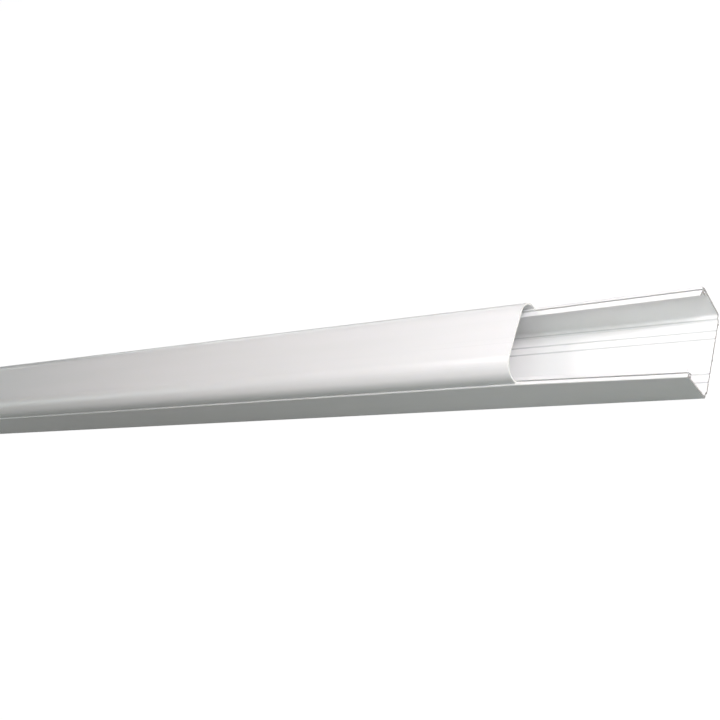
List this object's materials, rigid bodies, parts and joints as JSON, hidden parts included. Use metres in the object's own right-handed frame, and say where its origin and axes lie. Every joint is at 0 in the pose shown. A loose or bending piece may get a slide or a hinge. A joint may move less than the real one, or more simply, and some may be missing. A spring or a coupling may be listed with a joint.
{
  "type": "air conditioner pipe trunking",
  "caption": "Straight wall trunking for air conditioner pipes: an extruded U channel with slotted lips and a round-cornered clip-on cover, slid back to bare one end.",
  "frame": {"origin": "middle of the channel's back face, the face that lies against the wall or floor", "axes": "+X along the length towards the bare end of the channel, +Y across the width, +Z out of the wall, from the back to the front of the cover"},
  "size_m": [2.148, 0.0847, 0.0584],
  "materials": {
    "channel_plastic": "white rigid PVC, smooth as extruded, satin",
    "cover_plastic": "white rigid PVC, smooth as extruded, soft gloss"
  },
  "bodies": {
    "root": {"base_channel": "channel_plastic", "clip_cover": "cover_plastic"}
  },
  "joints": []
}
